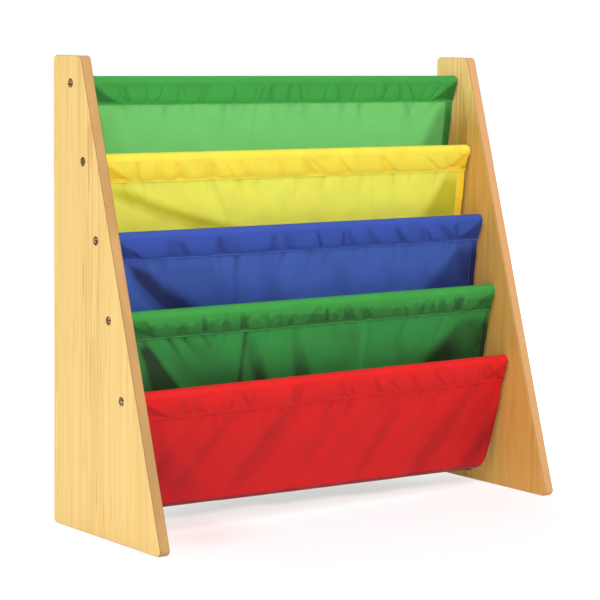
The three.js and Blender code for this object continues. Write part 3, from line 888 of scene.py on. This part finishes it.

# %% [markdown]
# ### Folds
# Slack cloth falls into folds that start under the upper corners and run down and in. Every fold
# has a crest, and beyond it the cloth falls back, steeply at first and then less and less. Where
# it falls back towards the middle, a strip is left standing forward at the side. Otherwise the
# side itself falls back. The crests were read off the photograph, sleeve by sleeve.

# %% Folds
# Sleeve that the panel hangs from, side of the panel that the crest starts from, which way the
# cloth falls back, start of the crest in from the side, its run in over the first 50 mm and the
# power that it follows, how far the cloth falls, over what width, how the width grows downward,
# how much painted shade it gets there, and how much painted shade it gets still beyond. A fold
# that doesn't fall only gets painted shade.
FOLDS = [
    (0, -1, -1, 0.040, 0.018, 1.00, 0.0015, 0.020, 0.10, 0.15, 0.28),
    (0, 1, 1, 0.019, 0.027, 1.00, 0.0045, 0.012, 0.10, 0.48, 0.44),
    (1, -1, 1, 0.004, 0.108, 1.56, 0.0010, 0.015, 0.14, 1.00, 0.00),
    (1, 1, 1, 0.030, 0.038, 1.00, 0.0040, 0.020, 0.30, 0.90, 0.80),
    (2, -1, 1, 0.025, 0.036, 1.45, 0.0030, 0.017, 0.42, 1.00, 0.00),
    (2, -1, 1, 0.060, 0.050, 1.20, 0.0000, 0.050, 0.60, 0.28, 0.00),
    (2, 1, 1, 0.014, 0.065, 0.82, 0.0030, 0.016, 0.25, 0.69, 0.72),
    (3, -1, 1, 0.0165, 0.031, 1.00, 0.0030, 0.015, 0.11, 1.00, 0.00),
    (3, -1, 1, 0.040, 0.050, 1.00, 0.0000, 0.050, 0.60, 0.22, 0.00),
    (3, 1, 1, 0.026, 0.077, 0.75, 0.0090, 0.012, 0.30, 0.54, 0.32),
    (4, -1, -1, 0.030, 0.035, 1.00, 0.0015, 0.020, 0.10, 0.28, 0.36),
    (4, -1, -1, 0.062, 0.060, 1.00, 0.0000, 0.060, 0.30, 0.06, 0.16),
    (4, 1, 1, 0.036, 0.052, 0.85, 0.0020, 0.050, 0.30, 0.18, 0.86),
]
RUN_OVER = 0.05  # the length of cloth over which a crest's run is given
SHARP = 0.0030  # half the width of a crest
STRIP_SLOPE = 0.16  # how steeply a strip goes back from its crest to the side


def rows_for(sleeve, table):
    """The rows of a table that start with a sleeve's number, without that number."""
    return [row[1:] for row in table if row[0] == sleeve]


def folded(folds, x, edge, down):
    """How far the cloth falls back and how much painted shade it gets. The crest lies start + run
    * (down / 0.05)^power in from the side, t is the distance beyond it, and the fall is height *
    (1 - exp(-1.5 t / width)). Where the cloth falls away from its side, the strip between the
    crest and the side stands forward instead, and slopes back to the side. Heights and painted
    shades set in below the stitches and are gone at the bottom of the pocket."""
    back = np.zeros(np.broadcast(x, down).shape)
    shade = np.zeros(back.shape)
    for side, way, start, run, power, height, width, growth, dark, rest in folds:
        crest_in = start + run * (np.maximum(down, 0) / RUN_OVER) ** power
        t = way * (x - side * (edge - crest_in)) / np.hypot(1, run / RUN_OVER)
        wide = width + growth * down
        inward = side * way < 0
        grown = height * smooth(down, -0.006, 0.034 if inward else 0.080)
        grown = grown * smooth(down, 0.175, 0.085)
        beyond = (t + np.hypot(t, SHARP)) / 2
        fall = 1 - np.exp(-1.5 * beyond / wide)
        strip = np.minimum(np.maximum(-t, 0) * STRIP_SLOPE, 0.5 * grown) - grown
        back += grown * fall + (strip if inward else 0)
        fade = smooth(t, 1.5 * wide, 0.5 * wide)
        lasting = smooth(down, -0.006, 0.022) * smooth(down, 0.150, 0.080)
        turn = SHARP + 0.20 * down
        shade += smooth(t, -turn, turn) * (rest + (dark - rest) * fade) * lasting
    return back, shade


print("folds below each sleeve:", [len(rows_for(i, FOLDS)) for i in range(len(COLOURS))])

# %% [markdown]
# ### The surface of a panel
# The line seen from the side gives each row its height and depth. Across it the cloth is drawn in
# towards the bottom, and then moved to the rear or the front by the folds, the dents below the
# stitches, the slack and the hems. The hidden front panel that shares a sleeve with a back panel
# follows it where it falls back, and hangs free of it elsewhere.


# %% Panel surfaces
# For each sleeve, the slack of the panels below it: how far its waves lean, how deep they are and
# how much painted shade their hollows get, and how much painted shade the side hems and the lower
# half get. The yellow hem takes no painted shade from the fold that it crosses.
SLACK = [
    (0.0, 0.0005, 0.00, 0.30, 0.00),
    (-0.7, 0.0022, 0.08, -0.90, 0.00),
    (-0.4, 0.0024, 0.22, 0.25, 0.05),
    (-0.2, 0.0024, 0.35, 0.25, 0.56),
    (0.8, 0.0030, 0.26, 0.00, 0.28),
]
# Longer rays and pleats that stand out in the photograph: sleeve that the panel hangs from, place
# across, half width, length, lean and depth. A negative depth is a ridge.
LONG_RAYS = [
    (1, -0.130, 0.0040, 0.120, 0.50, 1.0),
    (2, -0.111, 0.0045, 0.140, 0.00, 1.2),
    (3, -0.238, 0.0050, 0.060, 0.66, 2.4),
    (3, -0.216, 0.0050, 0.040, 0.82, 2.4),
    (3, -0.186, 0.0045, 0.035, 0.75, 2.2),
    (3, -0.115, 0.0045, 0.160, -0.14, 2.2),
    (3, 0.084, 0.0050, 0.160, -0.09, -1.6),
    (4, -0.140, 0.0140, 0.160, -0.90, 0.8),
    (4, -0.060, 0.0160, 0.180, -0.85, 0.8),
]
SHORT_RAYS = (30, 0.0050, 0.055, 0.0)  # number, half width, length and lean
LEAN_IN = 0.9  # how much further rays lean in at the sides
RAY_DEPTH, CREASE_DEPTH, HEM_RIPPLE = 0.0012, 0.0005, 0.0006
# Painted shade where the bottom of a pocket turns under.
DARK_BOTTOM = (0.895, 0.915)  # the share of the cloth over which the bottom turns dark


def panel_points(pocket, part, place, behind, reach):
    """The panel's surface and its painted shade. place and behind are as in cloth_columns, and
    reach is the length of cloth below the stitches. The line seen from the side gives y and z, and
    a small step along it gives its normal. A point moves along that by folds + hem + rays + slack,
    and the slack fades out at the stitches and at the bottom. The painted shades add up."""
    section = pocket_section(pocket)
    sleeve, hidden = hangs_from(part, pocket)
    y, z = panel_line(section, part, reach)
    step = 1e-5
    y_on, z_on = panel_line(section, part, reach + step)
    rear_y, rear_z = (z - z_on) / step, -(y - y_on) / step
    share = reach / panel_drop(part, pocket)
    edge = CLOTH_HALF - SLEEVE_TAPER - POCKET_TAPER * share**3.5
    x = place * edge
    seed = 100 + 10 * pocket + (part == "front")
    back, shade = folded(rows_for(sleeve, FOLDS), x, edge, reach)
    below = draw_teeth(seed + 2, *SHORT_RAYS)
    below[:, 3] -= LEAN_IN * (below[:, 0] / CLOTH_HALF) ** 3
    below = np.vstack([below, *rows_for(sleeve, LONG_RAYS)])
    pressed = rays(x, reach, below) * smooth(reach, -0.002, 0.004)
    if hidden:
        back, shade = np.maximum(back, 0), 0 * shade
    free = smooth(reach, 0, 0.02) * smooth(share, 1.0, 0.86)
    tilt, ease, hollow, hem_dark, low_dark = SLACK[sleeve]
    slack = waves(x + tilt * reach, 0.3 * reach, seed, 0.060)
    crease = CREASE_DEPTH * waves(x, reach, seed + 1, 0.026, 12)
    at_hem = smooth(np.abs(place), 1 - 2.2 * SIDE_HEM / edge, 1 - SIDE_HEM / edge)
    ripple = HEM_RIPPLE * waves(reach, 0 * reach, seed + 3, 0.019, 5) * at_hem
    move = back + behind + RAY_DEPTH * pressed + free * (ease * slack + crease + ripple)
    skew = -POCKET_SKEW * share * x / CLOTH_HALF
    points = np.broadcast_arrays(x, y + move * rear_y, z + skew + move * rear_z)
    # Painted shade: in the folds, the rays and the hollows of the slack, on the lower part, at the
    # bottom turn and on the side hems.
    shade = shade + 0.3 * pressed + hollow * free * smooth(slack, 0.0, 0.5)
    shade = shade + low_dark * smooth(reach, -0.010, 0.070) + smooth(share, *DARK_BOTTOM)
    shade = shade + hem_dark * smooth(np.abs(x), edge - SIDE_HEM - 0.001, edge - SIDE_HEM)
    return np.stack(points, -1), np.clip(shade, 0, 1)


print("long rays:", len(LONG_RAYS), "and short ones on each panel:", SHORT_RAYS[0])

# %% [markdown]
# ### Eight panels
# The panels that the camera sees get a finer grid than the three that hang behind them.

# %% Make the panels
PANEL_ROWS, SEEN_COLUMNS, HIDDEN_COLUMNS = 105, 401, 161

panels = {}
for part, pocket in PANELS:
    sleeve, hidden = hangs_from(part, pocket)
    name = COLOURS[pocket if hidden else sleeve]
    place, behind, flat = cloth_columns(HIDDEN_COLUMNS if hidden else SEEN_COLUMNS)
    reach = np.linspace(0, panel_drop(part, pocket), PANEL_ROWS)[:, None]
    points, shade = panel_points(pocket, part, place, behind, reach)
    uv = np.stack(np.broadcast_arrays(flat, reach), -1)
    piece = add_grid(f"pocket_{pocket + 1}_{part}_{name}", points, uv, shade)
    dress(piece, name, NYLON)
    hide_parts(f"pocket_{pocket + 1}_{part}_panel")
    panels[part, pocket] = piece
print("panels:", [p.name for p in panels.values()])

# %% [markdown]
# ## Stitches
# A stitch is a short strand of thread that dips into the cloth at both ends. All the stitches of a
# seam are one mesh: the same little tube, placed along the seam from one hole to the next. The
# tube's radius follows a half ellipse, and its middle stands a little off the cloth.

# %% One tube for every step of a seam
STITCH_PITCH, STITCH_LENGTH, STITCH_RADIUS = 0.0040, 0.0029, 0.00024
STITCH_RINGS, STITCH_SIDES = 6, 6
TOWARDS_FRONT = np.array([0, -1.0, 0])


def unit(vectors):
    """Each vector divided by its length."""
    return vectors / np.linalg.norm(vectors, axis=-1, keepdims=True)


def stitch_points(place_at, length):
    """Points of shape (stitches, rings, sides, 3), for t from -1 to 1 along a stitch: the middle
    line rises by radius * (0.8 - 1.1 t^2) off the cloth, and the tube is radius * sqrt(1 -
    0.97 t^2) thick. place_at(distance) gives the surface at distances along the seam."""
    count = int(length / STITCH_PITCH)
    middle = (np.arange(count) + 0.5) * length / count
    head = place_at(middle - STITCH_LENGTH / 2)[:, None, None]
    foot = place_at(middle + STITCH_LENGTH / 2)[:, None, None]
    aside = unit(np.cross(foot - head, TOWARDS_FRONT))
    off = unit(np.cross(aside, foot - head))
    t = np.linspace(-1, 1, STITCH_RINGS)[None, :, None, None]
    angle = np.linspace(0, 2 * np.pi, STITCH_SIDES, endpoint=False)[None, None, :, None]
    radius = STITCH_RADIUS * np.sqrt(1 - 0.97 * t**2)
    centre = (head + foot) / 2 + (foot - head) * t / 2
    rise = STITCH_RADIUS * (0.8 - 1.1 * t**2)
    return centre + rise * off + radius * (np.cos(angle) * off + np.sin(angle) * aside)


def sew(name, colour_name, points):
    """A piece of thread from the points of all its stitches."""
    piece = add_mesh(name, points, ring_faces(points))
    dress(piece, colour_name, THREAD)
    return piece


print("stitches along a sleeve:", int(2 * (CLOTH_HALF - SLEEVE_TAPER) / STITCH_PITCH))

# %% [markdown]
# ### Where the seams run
# One row closes each sleeve, on its front face, and one row holds each side hem. A distance along
# a seam is turned into the arguments of the surface that it lies on, so the thread follows every
# dent and fold of the cloth.

# %% Sew
FRONT_SEAM_ROW = len(SECTION) - 1 - FOOT_STEPS
HEM_SEAM = SIDE_HEM - 0.0015  # from the side to its stitches


def sleeve_seam(index):
    """The seam of a sleeve as a function of the distance from its left end."""

    def place_at(distance):
        x = distance - CLOTH_HALF + SLEEVE_TAPER
        return sleeve_points(index, x, 0.0, np.array([FRONT_SEAM_ROW]))[0][0]

    return place_at


def hem_seam(pocket, part, side):
    """The stitches of one side hem as a function of the distance below the sleeve."""

    def place_at(distance):
        place = np.array([side * (1 - HEM_SEAM / CLOTH_HALF)])
        return panel_points(pocket, part, place, 0.0, distance[:, None])[0][:, 0]

    return place_at


for index, name in enumerate(COLOURS):
    points = stitch_points(sleeve_seam(index), 2 * (CLOTH_HALF - SLEEVE_TAPER))
    sew(f"seam_{index + 1}_{name}", name, points)
for (part, pocket), panel in panels.items():
    name = panel.name.rsplit("_", 1)[1]
    length = panel_drop(part, pocket) - STITCH_PITCH
    rows = [stitch_points(hem_seam(pocket, part, side), length) for side in (-1, 1)]
    sew(f"hem_{pocket + 1}_{part}_{name}", name, np.concatenate(rows))

# %% [markdown]
# ## Floor and light
# The object stands on a white floor in a plain studio. The floor is a large flat sheet, a little
# bright of its own accord for the camera and in reflections, so that it turns white but keeps
# the soft shadow that falls on it. Near the shelf the glow itself is painted: a painted red glow
# under the last pocket, and a painted grey shadow behind a wavy line below it.


# %% Floor
FLOOR_HALF, FLOOR_DROP = 6, 0.0002  # half its width, and how far it lies below the feet


def seen_directly(finish):
    """1 for rays from the camera, glossy rays, and rays that pass straight through something, and
    0 for the light that falls on things: max(camera, glossy, through * (1 - diffuse))."""
    rays_of = finish.node("ShaderNodeLightPath").outputs
    seen, glossy, diffuse, through = (
        Value(finish, rays_of[f"Is {kind} Ray"])
        for kind in ("Camera", "Glossy", "Diffuse", "Transmission")
    )
    return seen.apply("MAXIMUM", glossy).apply("MAXIMUM", through * (1 - diffuse))


def ellipse(x, y, middle, half):
    """The distance from the middle of an ellipse, 1 on its edge: sqrt((x/a)^2 + (y/b)^2)."""
    across, along = (x - middle[0]) / half[0], (y - middle[1]) / half[1]
    return (across * across + along * along).apply("SQRT")


def floor_finish():
    """Seen directly, the floor is mostly its own pale glow, with two fifths of the light that
    falls on it. Painted into the glow are a red glow, pinkish in an ellipse under and before the
    shelf and rosier in a small ellipse by the left board, and a grey shadow behind a wavy line
    below the last pocket; beyond, it is white. To all other rays it is a white sheet."""
    finish = Finish("floor")
    x, y, _ = finish.coordinates()
    away = ellipse(x, y, (0, -0.12), (0.34, 0.27)).between(0.7, 1.7)
    # Painted red glow: pink under and before the shelf, rosier by the left board.
    painted_red_glow = ellipse(x, y, (-0.215, -0.025), (0.11, 0.10)).between(1.0, 0.2)
    wavy = finish.noise(x * 9, y * 2, 4.0, detail=1.0) - 0.5
    # Painted shadow: grey behind a wavy line below the last pocket.
    behind = (y + x * 0.09 + wavy * 0.06).between(0.030, 0.062)
    painted_glow_tone = finish.blend(painted_red_glow * 0.6, (0.60, 0.525, 0.53, 1), (0.48, 0.31, 0.31, 1))
    near = finish.blend(behind, painted_glow_tone, (0.40, 0.395, 0.385, 1))
    mottled = finish.noise(x * 3, y * 3, 0.0, detail=2.0)
    dull = {"Roughness": 0.7, "Specular IOR Level": 0.1}
    white = finish.blend(mottled, (0.80, 0.80, 0.80, 1), (0.83, 0.83, 0.83, 1))
    sheet = finish.principled({"Base Color": white, **dull})
    glow = {"Emission Color": finish.blend(away, near, (1, 1, 1, 1)), "Emission Strength": 1.0}
    shown = finish.principled({"Base Color": (0.42, 0.42, 0.42, 1), **dull, **glow})
    return finish.show(finish.mix(seen_directly(finish), sheet, shown))


across = np.linspace(-FLOOR_HALF, FLOOR_HALF, 13)
floor_x, floor_y = np.meshgrid(across, across)
floor = add_grid("floor", np.stack([floor_x, floor_y, 0 * floor_x - FLOOR_DROP], -1))
floor.data.materials.append(floor_finish())
print("floor", 2 * FLOOR_HALF, "m wide")

# %% [markdown]
# ### Lamps
# A wide lamp on the left gives the left board its bright face, and grazes the cloth, so its folds
# show. One at the front, near the camera, and one above light the cloth, and one behind lights
# the back panels, so that some of its light comes through them. The world fills in the rest, and
# is plain white where it is seen directly.


# %% Lamps and world
def add_lamp(name, place, aim, size, power):
    """A square lamp at place that looks at aim, with its size in metres and power in watts."""
    lamp = bpy.data.objects.new(name, bpy.data.lights.new(name, "AREA"))
    lamp.data.shape, lamp.data.size, lamp.data.energy = "SQUARE", size, power
    lamp.location = place
    look = Vector(aim) - Vector(place)
    lamp.rotation_euler = look.to_track_quat("-Z", "Y").to_euler()
    bpy.context.scene.collection.objects.link(lamp)


add_lamp("key", (-3.0, -0.35, 0.9), (0, 0, 0.3), 1.6, 34)
add_lamp("front", (-0.6, -2.7, 1.6), (0, 0, 0.3), 1.6, 58)
add_lamp("above", (0.1, -0.9, 2.6), (0, 0, 0.3), 2.2, 32)
add_lamp("behind", (0.6, 2.4, 1.6), (0, 0, 0.35), 2.4, 38)

WORLD_STRENGTH = 0.36  # as a light; where it is seen directly it is 1
studio = Finish("studio", "World")
strength = WORLD_STRENGTH + (1 - WORLD_STRENGTH) * seen_directly(studio)
sky = {"Color": (1, 1, 1, 1), "Strength": strength}
bpy.context.scene.world = studio.show(studio.node("ShaderNodeBackground", None, sky))
print("lamps and world set")

# %% [markdown]
# ## Sheets
# Each panel's length of cloth below its stitches and the sleeve that it hangs from are worked
# out, and the sheets are counted.

for index, sleeve in enumerate(sleeves):
    f"dowel_{index + 1}"
for (part, pocket), piece in panels.items():
    panel_drop(part, pocket)
    sleeves[pocket if part == "back" else pocket + 1].name
print("sheets:", len(sleeves) + len(panels))
